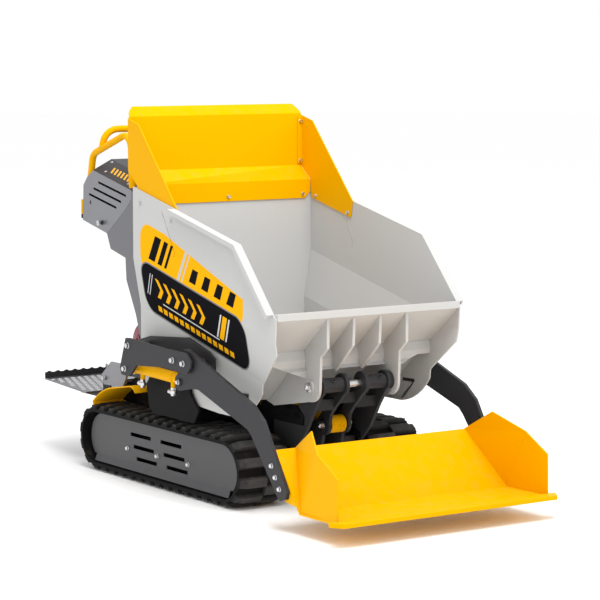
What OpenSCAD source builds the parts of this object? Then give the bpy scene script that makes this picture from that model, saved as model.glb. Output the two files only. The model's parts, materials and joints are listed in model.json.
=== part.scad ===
// Tracked mini dumper with a tipping skip, a self-loading shovel and a fold-up rider's step.
// Millimetres. +X is forward, +Y is the machine's left, +Z is up, the floor is z = 0.

/* [Tracks] */
// Width of one rubber track
track_w = 200; // [150:5:240]
// Distance from the middle plane to the outer side of a track
track_outer_y = 361; // [340:1:380]
// Radius of the belt's outer face round its end wheels
belt_r = 99; // [85:1:105]
// Thickness of the belt
belt_t = 10; // [8:1:14]
// Height of the lugs
lug_h = 18; // [12:1:22]
// Spacing of the lugs along the belt
lug_pitch = 60; // [50:1:80]
// Length of a lug at its root
lug_root = 36; // [28:1:44]
// Length of a lug at its tip
lug_tip = 24; // [16:1:26]
// Place of the rear end wheel
wheel_rear_x = -532; // [-560:1:-500]
// Place of the front end wheel
wheel_front_x = 293; // [260:1:320]
// Bottom rollers under each track frame
roller_count = 5; // [3:1:6]
// Radius of a bottom roller
roller_r = 30; // [22:1:34]

/* [Track covers] */
// Thickness of the slotted cover plate
cover_t = 4; // [3:1:6]
// Depth of the cover plate inside the track's outer side
cover_recess = 21; // [14:1:30]
// Half height of the cover plate
cover_r = 84; // [70:1:86]
// Length of one cover slot
slot_l = 134; // [100:1:140]
// Height of one cover slot
slot_h = 13; // [8:1:18]

/* [Chassis] */
// Thickness of the chassis plates
frame_t = 8; // [6:1:12]
// Half width of the chassis box
frame_half_w = 120; // [110:1:140]
// Height of the engine deck's upper face
deck_z = 308; // [302:1:312]

/* [Tip pivot] */
// Distance of the tip pivot ahead of the origin
pivot_x = 500; // [490:1:510]
// Height of the tip pivot
pivot_z = 398; // [390:1:405]
// Diameter of the pivot pin
pivot_pin_d = 25; // [20:1:30]
// Outer diameter of the pivot tubes
pivot_tube_d = 48; // [40:1:52]

/* [Skip] */
// Thickness of the skip's sheet
skip_t = 5; // [3:1:6]
// Half width of the skip's upper band, outside
skip_half_w = 358; // [352:1:360]
// Inward step of the skip's lower band
skip_step = 28; // [20:1:32]
// Rear face of the skip
skip_rear_x = -262; // [-275:1:-255]
// Top of the skip's rear wall
skip_rear_z = 1000; // [960:1:1040]
// Underside of the skip's floor
skip_floor_z = 331; // [326:1:336]
// Outward width of the rim flange
rim_w = 24; // [16:1:26]
// Thickness of the pivot ears and ribs
rib_t = 10; // [8:1:12]

/* [Skip boards] */
// Thickness of the add-on boards
board_t = 4; // [3:1:5]
// Height of the rear board above the skip's rear wall
board_h = 265; // [200:1:300]
// Rearward offset of the rear board's panel
board_back = 58; // [40:1:64]

/* [Shovel] */
// Thickness of the shovel's sheet
shovel_t = 6; // [4:1:8]
// Height of the shovel's floor above the ground
shovel_z = 70; // [66:1:80]
// Overhang of the cutting edge past the shovel's sides
edge_overhang = 27; // [10:1:40]
// Front of the cutting edge
edge_front_x = 1037; // [1020:1:1060]

/* [Arms] */
// Thickness of an arm
arm_t = 12; // [8:1:12]
// Inner face of an arm from the middle plane of its lift cylinder
arm_side = 25; // [24:1:28]
// Place of the arm pivot along the machine
arm_pivot_x = 174; // [170:1:178]
// Height of the arm pivot
arm_pivot_z = 457; // [452:1:462]
// Diameter of the arm pivot pin
arm_pin_d = 24; // [20:1:26]
// Thickness of the bracket plates
bracket_t = 8; // [6:1:10]

/* [Lift cylinders] */
// Outer diameter of a lift barrel
lift_barrel_d = 38; // [34:1:38]
// Diameter of a lift rod
lift_rod_d = 18; // [14:1:20]
// Middle plane of a lift cylinder from the skip's side
lift_side = 22; // [21:1:24]
// Diameter of the pin at the barrel's eye
lift_pin_d = 20; // [16:1:22]

/* [Tip cylinder] */
// Outer diameter of the tip barrel
tip_barrel_d = 52; // [44:1:54]
// Diameter of the tip rod
tip_rod_d = 30; // [24:1:32]
// Diameter of the pin at the barrel's eye
tip_pin_d = 22; // [18:1:25]

/* [Console] */
// Half width of the console, its column and the engine deck
console_half_w = 230; // [210:1:240]
// Diameter of the handlebar tube
bar_d = 24; // [20:1:28]

/* [Step] */
// Rear edge of the step
step_rear_x = -1037; // [-1060:1:-1000]
// Upper face of the step
step_z = 260; // [254:1:266]
// Half width of the step at its rear
step_rear_half_w = 283; // [260:1:300]
// Half width of the step at its front
step_front_half_w = 333; // [310:1:345]
// Thickness of the step plate
step_t = 6; // [4:1:8]

/* [Hidden] */
$fn = 48;
fit = 0.05;
seat = 0.3;
side_gap = 6;

track_inner_y = track_outer_y - track_w;
track_mid_y = (track_outer_y + track_inner_y) / 2;
wheel_z = lug_h + belt_r;
belt_inner_r = belt_r - belt_t;
wheel_r = belt_inner_r - seat;
loop_straight = wheel_front_x - wheel_rear_x;
loop_length = 2 * loop_straight + 2 * PI * belt_r;
lug_count = round(loop_length / lug_pitch);
wheel_w = 80;
axle_r = 15;
roller_axle_r = 9;
roller_z = lug_h + belt_t + roller_r + seat;
roller_rear_x = wheel_rear_x + 132;
roller_step = (loop_straight - 264) / (roller_count - 1);
side_plate_t = 6;
side_plate_gap = 3;
frame_in_y = track_mid_y - wheel_w / 2 - side_plate_gap - side_plate_t;
frame_out_y = track_mid_y + wheel_w / 2 + side_plate_gap + side_plate_t;

lug_edge_h = 5;
lug_slope_w = 36;
cover_out_y = track_outer_y - cover_recess;
cover_end = 24;
cover_bolt_x = [-339, -143, 55];
cover_bolt_z = wheel_z - 14;
cover_bolt_r = 10;
cover_fold_h = 24;
cover_flare = 9;
cover_flare_end = 44;
slot_row_z = [38, -2.5, -42];
slot_row_x = -320;
slot_row_shift = 19.5;
slot_gap_x = 197;

deck_half_w = console_half_w;
deck_l = 365;
belly_z = wheel_z + 25;
belly_rear_x = -480;
belly_front_x = 330;
frame_rear_x = -640;
frame_top_z = deck_z - frame_t - 4;
outrigger_x = [-170, 0];
outrigger_w = 60;
outrigger_z = 245;
outrigger_h = 48;
cross_tube_x = [-425, 135];
cross_tube = 50;
rest_x = -180;
rest_r = 18;
upright_t = 8;
upright = [[-205, 341], [-185, 262], [-160, 247], [100, 247], [128, 290], [79, 337], [50, 405], [-150, 405]];

cheek_t = 12;
ear_clear = 16;
ear_y = frame_half_w + cheek_t + ear_clear + rib_t / 2;
inner_rib_y = ear_y / 3;
ear_in_y = ear_y - rib_t / 2;
ear_out_y = ear_y + rib_t / 2;
collar_r = pivot_tube_d / 2 + 6;
collar_w = 10;
ear_gap = 2;
tube_out_y = ear_in_y - ear_gap;
tube_in_y = 32;
web_t = 12;
web_h = 34;
mid_web = [pivot_x - 38, pivot_z - 66];
side_web = [pivot_x - 48, pivot_z - 86];
tower_foot_z = belly_z + frame_t + seat;

lip_x = 590;
lip_z = 631;
lip_w = 14;
lip_h = 18;
lip_lap = 3;
rim_drop = 14;
rim_foot = [0, 941];
rim_bend = [398, 852];
rim_front = [585, 648];
fold_slope = -0.235;
fold_hi_rear_z = 760;
fold_lo_rear_z = 598;
slope_foot_x = 261;
skip_inner_w = skip_half_w - skip_t;
wall_inset = 10;
wall_x = skip_rear_x + wall_inset;
board_face_x = wall_x + skip_t + seat;
board_lap = 62;
board_fold_z = skip_rear_z + 4;
board_fold_h = 46;
board_lip = [22, 33];
board_corner = [[0, 36], [6, 19], [26, 0]];
board_foot_cut = 24;
board_flange = 22;
board_top_z = skip_rear_z + board_h;
panel_x = board_face_x - board_back;
panel_foot_z = board_fold_z + board_fold_h;
panel_top_z = board_top_z - board_lip[1];
floor_top_z = skip_floor_z + skip_t;

tip_base = [405, 255];
tip_eye = [-100, 296];
lift_base = [-199, 399];
lift_eye = [128, 391];

lift_y = skip_half_w + lift_side;
arm_y = lift_y + arm_side;
arm_out_y = arm_y + arm_t;
bracket_in_y = lift_y - lift_barrel_d / 2 - 8 - bracket_t;
bracket_out_y = arm_out_y + side_gap;
bracket_end_y = bracket_out_y + bracket_t;
spacer_pins = [[-177, 479], [109, 461]];
spacer_r = 11;

shovel_back_top = [668, 245];
shovel_back_foot = [800, shovel_z];
edge_rear_x = 990;
shovel_half_w = arm_y - 1;
edge_half_w = shovel_half_w + edge_overhang;
side_t = 5;

step_hinge = [-600, 310];
step_pin_r = 8;
step_front_x = -640;
step_arm_y = 257;
step_arm_t = 8;
step_rail_h = 20;
step_rail_l = 160;
step_bracket_y = 270;
step_bracket_t = 8;
step_foot_x = -560;
step_foot_l = 80;
step_foot_lap = 16;
lip_sheet_t = 4;
lip_teeth = 16;
lip_tooth_h = 5;
lip_top_z = step_z + 20;

skip_grey = [0.78, 0.78, 0.77];
yellow = [0.97, 0.73, 0.02];
dark_grey = [0.29, 0.29, 0.31];
console_grey = [0.49, 0.49, 0.53];
black = [0.08, 0.08, 0.09];
steel = [0.72, 0.72, 0.74];
maroon = [0.45, 0.08, 0.14];

// Height of a fold line of the skip's sides at x.
function fold_z(rear_z, x) = rear_z + fold_slope * (x - skip_rear_x);

// Points on an arc about a centre, from one angle to another.
function arc(centre, r, from, to, steps) =
    [for (i = [0:steps]) centre + r * [cos(from + (to - from) * i / steps),
                                       sin(from + (to - from) * i / steps)]];

// Point at a distance along the belt's loop and a height above its outer face.
function loop_point(s, h) =
    let (bend = PI * belt_r,
         turn = 180 / (PI * belt_r),
         t = s - loop_length * floor(s / loop_length))
    t < loop_straight ? [wheel_rear_x + t, wheel_z - belt_r - h] :
    t < loop_straight + bend ?
        let (a = (t - loop_straight) * turn - 90)
        [wheel_front_x, wheel_z] + (belt_r + h) * [cos(a), sin(a)] :
    t < 2 * loop_straight + bend ?
        [wheel_front_x - (t - loop_straight - bend), wheel_z + belt_r + h] :
        let (a = (t - 2 * loop_straight - bend) * turn + 90)
        [wheel_rear_x, wheel_z] + (belt_r + h) * [cos(a), sin(a)];

// A profile drawn in X and Z, given a width from y0 to y1.
module along_y(y0, y1) {
    translate([0, y1, 0]) rotate([90, 0, 0]) linear_extrude(y1 - y0) children();
}

// A round bar along Y.
module pin_y(at, r, y0, y1) {
    translate([at[0], y1, at[1]]) rotate([90, 0, 0]) cylinder(r = r, h = y1 - y0);
}

// A round bar from one point to another.
module rod(p, q, r) {
    d = q - p;
    translate(p)
        rotate([0, acos(d[2] / norm(d)), atan2(d[1], d[0])])
            cylinder(r = r, h = norm(d));
}

function unit(v) = v / norm(v);

// A corner rounded to a radius, as points along its arc.
function round_corner(a, b, c, r, steps) =
    let (back = unit(a - b),
         on = unit(c - b),
         half = acos(back * on) / 2,
         reach = r / tan(half),
         centre = b + unit(back + on) * r / sin(half),
         from = b + back * reach - centre,
         to = b + on * reach - centre,
         turn = 180 - 2 * half)
    [for (i = [0:steps])
        centre + (sin(turn * (1 - i / steps)) * from + sin(turn * i / steps) * to) / sin(turn)];

function rounded_path(points, r, steps = 5) =
    [points[0],
     for (i = [1:len(points) - 2]) each round_corner(points[i - 1], points[i], points[i + 1], r, steps),
     points[len(points) - 1]];

// A round tube swept along a flat path whose plane has the given normal.
module bent_tube(path, normal, r, sides = 12) {
    n = len(path);
    heading = function (i) unit(path[min(i + 1, n - 1)] - path[max(i - 1, 0)]);
    ring = function (i) [for (k = [0:sides - 1])
        path[i] + r * (cos(360 * k / sides) * cross(heading(i), normal) + sin(360 * k / sides) * normal)];
    polyhedron(
        points = [for (i = [0:n - 1]) each ring(i)],
        faces = concat([[for (k = [sides - 1:-1:0]) k]],
                       [[for (k = [0:sides - 1]) (n - 1) * sides + k]],
                       [for (i = [0:n - 2], k = [0:sides - 1])
                           [i * sides + k, i * sides + (k + 1) % sides,
                            (i + 1) * sides + (k + 1) % sides, (i + 1) * sides + k]]));
}

// A solid between two outlines with the same number of points.
module loft(a, b) {
    n = len(a);
    polyhedron(
        points = concat(a, b),
        faces = concat([[for (i = [0:n - 1]) i]],
                       [[for (i = [n - 1:-1:0]) n + i]],
                       [for (i = [0:n - 1]) [i, n + i, n + (i + 1) % n, (i + 1) % n]]));
}

// A line of sheet in X and Z, given a thickness along a vector.
module bent_sheet(line, thick) {
    n = len(line);
    polygon(concat(line, [for (i = [n - 1:-1:0]) line[i] + thick]));
}

// An outline drawn anticlockwise, moved inwards by a wall's thickness.
function inset(points, t) =
    let (n = len(points))
    [for (i = [0:n - 1])
        let (before = unit(points[i] - points[(i + n - 1) % n]),
             after = unit(points[(i + 1) % n] - points[i]),
             side = [-before[1] - after[1], before[0] + after[0]])
        points[i] + side * t / (1 + before * after)];

module both_sides() {
    children();
    mirror([0, 1, 0]) children();
}

module on_right() { mirror([0, 1, 0]) children(); }

// Outline with half-round ends, drawn in X and Z.
module stadium(r, x0, x1) {
    translate([x0, wheel_z]) circle(r = r);
    translate([x1, wheel_z]) circle(r = r);
    translate([x0, wheel_z - r]) square([x1 - x0, 2 * r]);
}

// Rubber track

// Outline of the belt with its lugs, the lugs moved on by a share of their spacing.
module lugged_loop(phase) {
    pitch = loop_length / lug_count;
    polygon([for (i = [0:lug_count - 1])
                 let (s = (i + phase) * pitch)
                 each [loop_point(s - lug_root / 2, 0), loop_point(s - lug_tip / 2, lug_h),
                       loop_point(s + lug_tip / 2, lug_h), loop_point(s + lug_root / 2, 0)]]);
}

module track_half(phase, y0, y1) {
    along_y(y0, y1) difference() {
        lugged_loop(phase);
        stadium(belt_inner_r, wheel_rear_x, wheel_front_x);
    }
}

// Space round the belt that its lugs fill, sloping down to both edges.
module lug_space() {
    high = belt_r + lug_h + 1;
    edge = belt_r + lug_edge_h;
    slope = [[track_inner_y, edge], [track_inner_y + lug_slope_w, high],
             [track_outer_y - lug_slope_w, high], [track_outer_y, edge]];
    for (x = [wheel_rear_x, wheel_front_x])
        translate([x, 0, wheel_z]) rotate([-90, 0, 0]) rotate_extrude()
            polygon(concat([[0, track_inner_y]], [for (p = slope) [p[1], p[0]]], [[0, track_outer_y]]));
    translate([wheel_rear_x, 0, wheel_z]) rotate([90, 0, 90]) linear_extrude(loop_straight)
        polygon(concat(slope, [for (i = [3:-1:0]) [slope[i][0], -slope[i][1]]]));
}

module track_loop() color(black) {
    intersection() {
        union() {
            track_half(0, track_mid_y, track_outer_y);
            track_half(0.5, track_inner_y, track_mid_y);
        }
        lug_space();
    }
}

// Roller frame inside the track

module side_plate_outline() {
    polygon([[wheel_rear_x - 28, wheel_z - 27], [wheel_rear_x + 70, roller_z - 14],
             [wheel_front_x - 70, roller_z - 14], [wheel_front_x + 28, wheel_z - 27],
             [wheel_front_x + 28, wheel_z + 27], [wheel_rear_x - 28, wheel_z + 27]]);
}

module roller_axles(r, gap) {
    for (i = [0:roller_count - 1])
        pin_y([roller_rear_x + i * roller_step, roller_z], r, gap[0], gap[1]);
}

module track_frame() color(dark_grey) {
    along_y(frame_in_y, frame_in_y + side_plate_t) side_plate_outline();
    along_y(frame_out_y - side_plate_t, frame_out_y) side_plate_outline();
    for (x = [wheel_rear_x, wheel_front_x]) pin_y([x, wheel_z], axle_r, frame_in_y, frame_out_y);
    roller_axles(roller_axle_r, [frame_in_y, frame_out_y]);
    for (x = cross_tube_x)
        translate([x, frame_in_y, wheel_z - 20]) cube([cross_tube, frame_out_y - frame_in_y, 40]);
}

module track_wheel(x) {
    rim_t = 12;
    translate([x, track_mid_y, wheel_z]) rotate([90, 0, 0]) rotate_extrude()
        polygon([[axle_r + seat, -30], [34, -30], [40, -12], [wheel_r - rim_t, -8],
                 [wheel_r - rim_t, -wheel_w / 2], [wheel_r, -wheel_w / 2],
                 [wheel_r, wheel_w / 2], [wheel_r - rim_t, wheel_w / 2],
                 [wheel_r - rim_t, 8], [40, 12], [34, 30], [axle_r + seat, 30]]);
}

module track_wheels() color(black) {
    track_wheel(wheel_rear_x);
    track_wheel(wheel_front_x);
    for (i = [0:roller_count - 1])
        difference() {
            pin_y([roller_rear_x + i * roller_step, roller_z], roller_r,
                  track_mid_y - wheel_w / 2, track_mid_y + wheel_w / 2);
            pin_y([roller_rear_x + i * roller_step, roller_z], roller_axle_r + seat,
                  track_mid_y - wheel_w, track_mid_y + wheel_w);
        }
}

// Slotted cover plate on the outside of a track

module cover_slots() {
    for (row = [0:2], column = [0:1])
        translate([slot_row_x + row * slot_row_shift + column * slot_gap_x,
                   wheel_z + slot_row_z[row] - slot_h / 2])
            square([slot_l, slot_h]);
}

module track_cover() color(dark_grey) {
    foot_z = wheel_z - cover_r;
    fold_z = foot_z + cover_fold_h;
    rear_x = wheel_rear_x + cover_end;
    front_x = wheel_front_x - cover_end - 2;
    along_y(cover_out_y - cover_t, cover_out_y) difference() {
        stadium(cover_r, rear_x, front_x);
        cover_slots();
        translate([rear_x - cover_r, foot_z - 1]) square([front_x - rear_x + 2 * cover_r, cover_fold_h + 1]);
    }
    translate([rear_x - cover_flare_end, 0, 0]) rotate([90, 0, 90])
        linear_extrude(front_x - rear_x + 2 * cover_flare_end)
            polygon([[cover_out_y - cover_t, fold_z + 1], [cover_out_y, fold_z + 1], [cover_out_y, fold_z],
                     [cover_out_y + cover_flare, foot_z], [cover_out_y + cover_flare - cover_t, foot_z],
                     [cover_out_y - cover_t, fold_z]]);
    for (x = cover_bolt_x)
        pin_y([x, cover_bolt_z], cover_bolt_r, frame_out_y + seat, cover_out_y - cover_t / 2);
}

// Chassis

module frame_side_outline() {
    polygon([[frame_rear_x, frame_top_z], [frame_rear_x, frame_top_z - 50], [belly_rear_x, belly_z],
             [belly_front_x, belly_z], [belly_front_x + 50, belly_z + 30],
             [belly_front_x + 50, belly_z + 70], [200, frame_top_z]]);
}

module chassis_frame() color(black) {
    both_sides() along_y(frame_half_w - frame_t, frame_half_w) frame_side_outline();
    translate([belly_rear_x, -frame_half_w, belly_z])
        cube([belly_front_x - belly_rear_x, 2 * frame_half_w, frame_t]);
    translate([frame_rear_x, -deck_half_w, frame_top_z])
        cube([deck_l, 2 * deck_half_w, deck_z - frame_top_z]);
    for (x = cross_tube_x)
        translate([x, seat - frame_in_y, wheel_z - cross_tube / 2])
            cube([cross_tube, 2 * (frame_in_y - seat), cross_tube]);
    both_sides() for (x = outrigger_x)
        translate([x, frame_half_w - frame_t, outrigger_z])
            cube([outrigger_w, bracket_in_y - seat - frame_half_w + frame_t, outrigger_h]);
    both_sides()
        translate([rest_x, frame_half_w - frame_t / 2, frame_top_z - 4])
            cylinder(r = rest_r, h = skip_floor_z - seat - frame_top_z + 4);
    both_sides() along_y(bracket_in_y - seat - upright_t, bracket_in_y - seat) polygon(upright);
}

// Tower at the front with the tubes of the tip pivot

module inner_cheek() {
    translate([pivot_x, pivot_z]) circle(r = 36);
    translate(tip_base) circle(r = 32);
    polygon([[pivot_x - 36, pivot_z], [pivot_x + 30, pivot_z - 18], [pivot_x - 35, 318],
             [pivot_x - 60, 290], tip_base + [26, -20], [tip_base[0] - 5, 222],
             [380, tower_foot_z], [300, tower_foot_z], [300, 236], [372, 272], [404, 310]]);
}

module outer_cheek() {
    translate([pivot_x, pivot_z]) circle(r = 34);
    polygon([[pivot_x - 34, pivot_z], [pivot_x + 32, pivot_z - 10], [pivot_x - 20, 320], [430, 240],
             [372, belly_z + 40], [250, belly_z + 40], [250, 262], [380, 308]]);
}

module pivot_tower() color(dark_grey) {
    both_sides() difference() {
        union() {
            along_y(tube_in_y, tube_in_y + cheek_t) inner_cheek();
            along_y(frame_half_w + seat, frame_half_w + cheek_t) outer_cheek();
            pin_y([pivot_x, pivot_z], pivot_tube_d / 2, tube_in_y, tube_out_y);
            pin_y([pivot_x, pivot_z], collar_r, tube_in_y, tube_in_y + collar_w);
            pin_y([pivot_x, pivot_z], collar_r, tube_out_y - collar_w, tube_out_y);
            translate([300, tube_in_y + cheek_t / 2, tower_foot_z])
                cube([60, frame_half_w - frame_t - seat - tube_in_y - cheek_t / 2, 50]);
        }
        pin_y([pivot_x, pivot_z], pivot_pin_d / 2 + fit, tube_in_y - 1, tube_out_y + 1);
    }
    pin_y(tip_base, tip_pin_d / 2, -tube_in_y - cheek_t - 6, tube_in_y + cheek_t + 6);
    translate([mid_web[0], -tube_in_y - 1, mid_web[1]]) cube([web_t, 2 * tube_in_y + 2, web_h]);
    both_sides()
        translate([side_web[0], tube_in_y + cheek_t - 1, side_web[1]])
            cube([web_t, frame_half_w - tube_in_y - cheek_t + 4, web_h]);
}

// Brackets that carry the arms and lift cylinders

module bracket_inner_outline() {
    polygon([[-238, 400], [-200, 372], [20, 372], [60, 424], [200, 424], [236, 430], [236, 474],
             [203, 493], [78, 526], [-166, 507], [-233, 490]]);
}

module bracket_outer_outline() {
    polygon([[-194, 503], [-232, 402], [-222, 378], [-168, 376], [-124, 418], [36, 430],
             [196, 426], [218, 448], [220, 468], [188, 493], [66, 494], [-170, 505]]);
}

module arm_bracket() color(dark_grey) {
    along_y(bracket_in_y, bracket_in_y + bracket_t) bracket_inner_outline();
    along_y(bracket_out_y, bracket_end_y) bracket_outer_outline();
    for (p = spacer_pins) pin_y(p, spacer_r, bracket_in_y, bracket_end_y);
    pin_y(lift_base, lift_pin_d / 2, bracket_in_y, bracket_end_y);
    pin_y([arm_pivot_x, arm_pivot_z], arm_pin_d / 2, bracket_in_y, bracket_end_y);
}

// Mudguard over the rear of a track

guard_t = 4;
guard_line = concat(arc([-357, 18], 293, 130, 104, 6), [[-284, 326], [-264, 319], [-254, 308]]);

module mudguard() color(yellow) {
    along_y(deck_half_w + seat, track_outer_y) bent_sheet(guard_line, [0, -guard_t]);
}

// Engine and its fittings on the deck

engine_z = deck_z + seat;
engine_x = -605;
engine_l = 205;
engine_half_w = 120;
sump_h = 40;
case_inset = 15;
case_h = 100;
head_l = 90;
head_w = 100;
fin_count = 6;
fin_pitch = 9;
fin_t = 4;
fin_reach = 14;
fan_r = 92;
fan_d = 66;
fan_z = engine_z + 120;
grille_slots = 12;
case_x = engine_x + case_inset;
case_l = engine_l - 2 * case_inset;
case_top_z = engine_z + sump_h + case_h;
head_x = case_x + (case_l - head_l) / 2;
fuel_z = case_top_z + fin_count * fin_pitch - 1 + seat;
fuel_w = 170;
fuel_h = 60;
fuel_cap_r = 24;
cap_h = 15;
muffler_l = 150;
muffler_w = 60;
muffler_h = 80;
pipe_r = 12;
oil_tank = [70, 170, 170];
oil_cap_r = 20;

// A rectangle with cut corners, from the origin.
module cut_corners(w, h, cut) {
    polygon([[cut, 0], [w - cut, 0], [w, cut], [w, h - cut], [w - cut, h], [cut, h], [0, h - cut], [0, cut]]);
}

module engine_block() color(dark_grey) {
    translate([engine_x, 10 - engine_half_w, engine_z])
        cube([engine_l, 2 * engine_half_w - 20, sump_h + 1]);
    translate([case_x, -engine_half_w, engine_z + sump_h]) cube([case_l, 2 * engine_half_w, case_h]);
    translate([head_x, -head_w / 2, case_top_z - 1]) cube([head_l, head_w, fin_count * fin_pitch]);
    for (i = [0:fin_count - 1])
        translate([head_x - fin_reach, -head_w / 2 - fin_reach, case_top_z + i * fin_pitch + 3])
            cube([head_l + 2 * fin_reach, head_w + 2 * fin_reach, fin_t]);
}

module fan_cover() color(maroon) {
    translate([case_x + case_l / 2, -engine_half_w - seat, fan_z]) rotate([90, 0, 0]) difference() {
        rotate_extrude()
            polygon([[0, 0], [fan_r, 0], [fan_r, fan_d - 26], [fan_r - 14, fan_d - 8], [fan_r / 2, fan_d],
                     [0, fan_d]]);
        for (i = [0:grille_slots - 1])
            rotate([0, 0, i * 360 / grille_slots]) translate([16, -3, fan_d - 8]) cube([26, 6, 10]);
    }
}

module fuel_tank() color(maroon) {
    translate([case_x, -fuel_w / 2, fuel_z]) linear_extrude(fuel_h) cut_corners(case_l, fuel_w, 24);
    translate([case_x + case_l / 3, 0, fuel_z + fuel_h - 1]) cylinder(r = fuel_cap_r, h = cap_h);
}

module muffler() color(steel) {
    pipe_y = engine_half_w + muffler_w / 2;
    pipe_z = engine_z + muffler_h;
    along_y(engine_half_w + seat, engine_half_w + muffler_w)
        translate([case_x + 10, engine_z + 60]) cut_corners(muffler_l, muffler_h, 14);
    rod([case_x + 11, pipe_y, pipe_z], [case_x - 22, pipe_y, pipe_z], pipe_r);
}

module hydraulic_tank() color(black) {
    translate([engine_x + engine_l + 10, deck_half_w - oil_tank[1] - 20, deck_z + seat]) {
        linear_extrude(oil_tank[2]) cut_corners(oil_tank[0], oil_tank[1], 8);
        translate([oil_tank[0] / 2, oil_tank[1] / 2, oil_tank[2] - 1]) cylinder(r = oil_cap_r, h = cap_h);
    }
}

// Console and its column

console_front_x = -493;
console_top = [[-760, 1029], [console_front_x, 971]];
console_foot = [[-665, 811], [-541, 898], [console_front_x, 940]];
console_line = concat(console_foot, [console_top[1], console_top[0]],
                      [[-800, 1006], [-831, 974], [-837, 848]]);
vent_foot = [[-724, 984], [-758, 961], [-791, 939]];
vent = [194, -38.5];
vent_h = 8;
console_wall = 3;
column_t = 6;
column_front_x = -300;
column_top_z = 925;
column_half_w = console_half_w;

module column_outline() {
    join = [for (p = console_foot) p + [seat, -seat]];
    polygon(concat([[column_front_x, deck_z + seat], [column_front_x, column_top_z],
                    [console_front_x + seat, 967], join[2], join[1], join[0]],
                   [[-639, 758], [-537, 734], [-531, 657], [-467, 541], [-430, 440],
                    [-430, deck_z + seat]]));
}

module console_column() color(console_grey) {
    both_sides() along_y(column_half_w - column_t, column_half_w) column_outline();
    translate([column_front_x - column_t, -column_half_w, deck_z + seat])
        cube([column_t, 2 * column_half_w, column_top_z - deck_z - 1]);
}

// Feet of the handlebar's rails, as holes through the sheet.
module rail_holes() {
    both_sides() {
        rod(rail_path[0], rail_path[1], bar_d / 2 + seat);
        rod(rail_path[3], rail_path[2], bar_d / 2 + seat);
    }
}

module console_housing() color(console_grey) {
    difference() {
        along_y(-console_half_w, console_half_w) polygon(console_line);
        along_y(console_wall - console_half_w, console_half_w - console_wall)
            polygon(inset(console_line, console_wall));
        along_y(-console_half_w - 1, console_half_w + 1)
            for (p = vent_foot) polygon([p, p + vent, p + vent + [0, vent_h], p + [0, vent_h]]);
        rail_holes();
    }
}

lid_h = 38;
lid_chamfer = 70;

module lid_section(t) {
    half = console_half_w - t;
    polygon([[-half, t > 0 ? -1 : 0], [half, t > 0 ? -1 : 0], [half - lid_chamfer, lid_h - t],
             [lid_chamfer - half, lid_h - t]]);
}

module console_panel() color(dark_grey) {
    d = console_top[1] - console_top[0];
    difference() {
        translate([console_top[0][0], 0, console_top[0][1] + seat])
            rotate([0, -atan2(d[1], d[0]), 0]) rotate([90, 0, 90]) difference() {
                linear_extrude(norm(d)) lid_section(0);
                translate([0, 0, console_wall]) linear_extrude(norm(d) - 2 * console_wall)
                    lid_section(console_wall);
            }
        rail_holes();
    }
}

rail_y = console_half_w - 16;
rail_path = [[-811, rail_y, 972], [-787, rail_y, 1084.5], [-520, rail_y, 1173], [-512, rail_y, 965]];
bar_foot = [-722, 1106];
bar_top = [-698, 1175];

module handlebar() color(yellow) {
    bar_r = bar_d / 2;
    for (s = [-1, 1])
        bent_tube(rounded_path([for (p = rail_path) [p[0], s * p[1], p[2]]], 45), [0, 1, 0], bar_r);
    rise = bar_top - bar_foot;
    bent_tube(rounded_path([[bar_foot[0], -rail_y, bar_foot[1]], [bar_top[0], -rail_y, bar_top[1]],
                            [bar_top[0], rail_y, bar_top[1]], [bar_foot[0], rail_y, bar_foot[1]]], 48),
              unit([rise[1], 0, -rise[0]]), bar_r);
}

lever_y = [-120, -60, 60, 120];
lever_r = 5;
lever_l = 52;
knob_r = 14;
boot_r = 16;

module control_levers() color(black) {
    slope = console_line[6] - console_line[5];
    middle = (console_line[6] + console_line[5]) / 2;
    for (y = lever_y)
        translate([middle[0], y, middle[1]]) rotate([0, 180 - atan2(slope[1], slope[0]), 0]) {
            translate([0, 0, seat]) cylinder(r1 = boot_r, r2 = boot_r / 2, h = boot_r);
            translate([0, 0, boot_r / 2]) cylinder(r = lever_r, h = lever_l);
            translate([0, 0, lever_l + boot_r / 2]) sphere(r = knob_r);
        }
}

// Step brackets

module step_bracket() color(console_grey) {
    along_y(step_bracket_y, step_bracket_y + step_bracket_t)
        polygon([[-612, 286], [-626, 320], [-560, 372], [-482, 372], [-455, 330], [-480, 290]]);
    pin_y(step_hinge, step_pin_r, step_arm_y - 4, step_bracket_y + step_bracket_t + 4);
    translate([step_foot_x, deck_half_w - step_foot_lap, deck_z + seat])
        cube([step_foot_l, step_bracket_y + 1 - deck_half_w + step_foot_lap, step_bracket_t + 2]);
}

// Skip

// Space between the skip's sides at a half width, taken past the ends of the skip.
module skip_space(w) {
    lo = w - skip_step;
    past = 100 + (skip_half_w - w);
    low = skip_floor_z - past;
    high = skip_rear_z + past;
    section = function (x) [
        [x, -w, high], [x, -w, fold_z(fold_hi_rear_z, x)], [x, -lo, fold_z(fold_lo_rear_z, x)],
        [x, -lo, low], [x, lo, low], [x, lo, fold_z(fold_lo_rear_z, x)],
        [x, w, fold_z(fold_hi_rear_z, x)], [x, w, high]];
    loft(section(skip_rear_x - past), section(lip_x + past));
}

side_slit = [[-78, 929], [2, 798], [3, 791], [-3, 784], [-1, 782], [6, 790], [5, 799], [-75, 930]];
hook_slot = [[326, 361], [380, 363], [330, 312], [340, 304], [398, 366], [396, 375], [326, 373]];

module skip_side_outline() {
    difference() {
        skip_side_edge();
        polygon(side_slit);
        polygon(hook_slot);
    }
}

module skip_side_edge() {
    polygon(concat([[skip_rear_x, skip_floor_z], [skip_rear_x, skip_rear_z], rim_bend, rim_front,
                    [601, 633], [596, 561], [594, 519], [483, 416]],
                   arc([297, 519], 226, -36, -82, 6),
                   [[232, 295], [100, 303], [71, skip_floor_z]]));
}

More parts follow.
